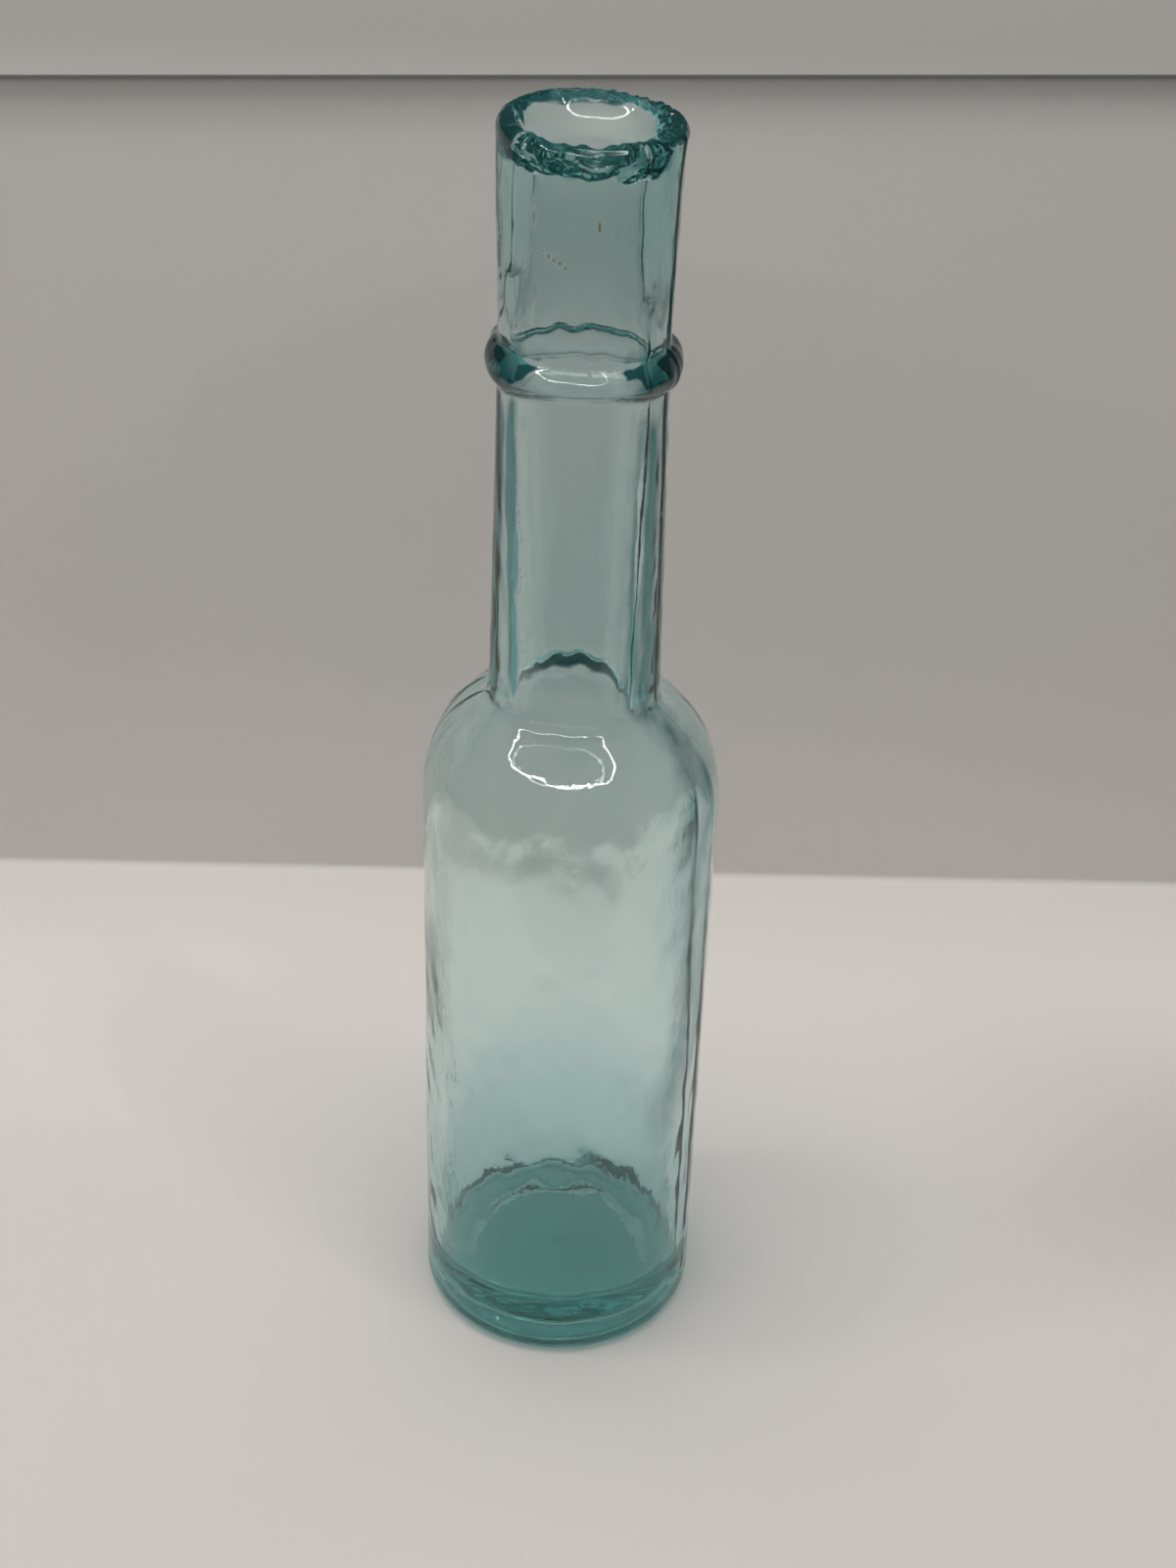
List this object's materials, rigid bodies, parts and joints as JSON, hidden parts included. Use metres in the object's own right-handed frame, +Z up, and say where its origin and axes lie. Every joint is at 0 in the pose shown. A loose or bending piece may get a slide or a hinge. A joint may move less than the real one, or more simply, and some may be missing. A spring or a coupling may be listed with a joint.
{
  "type": "glass bottle",
  "caption": "Tall-necked pale aqua glass bottle with a straight round body, domed shoulder, bead ring on the neck, thick base and rough open lip that takes a cork.",
  "frame": {"origin": "centre of the foot, on the surface that the bottle stands on", "axes": "+Z up along the bottle's axis to the mouth; -Y is the side the picture shows, +X is its right"},
  "size_m": [0.045, 0.045, 0.202],
  "materials": {
    "aqua_glass": "clear pale blue-green, with bubbles and ripples"
  },
  "bodies": {
    "root": {"base": "aqua_glass", "body": "aqua_glass", "shoulder": "aqua_glass", "neck": "aqua_glass", "collar_ring": "aqua_glass", "lip": "aqua_glass"}
  },
  "joints": []
}
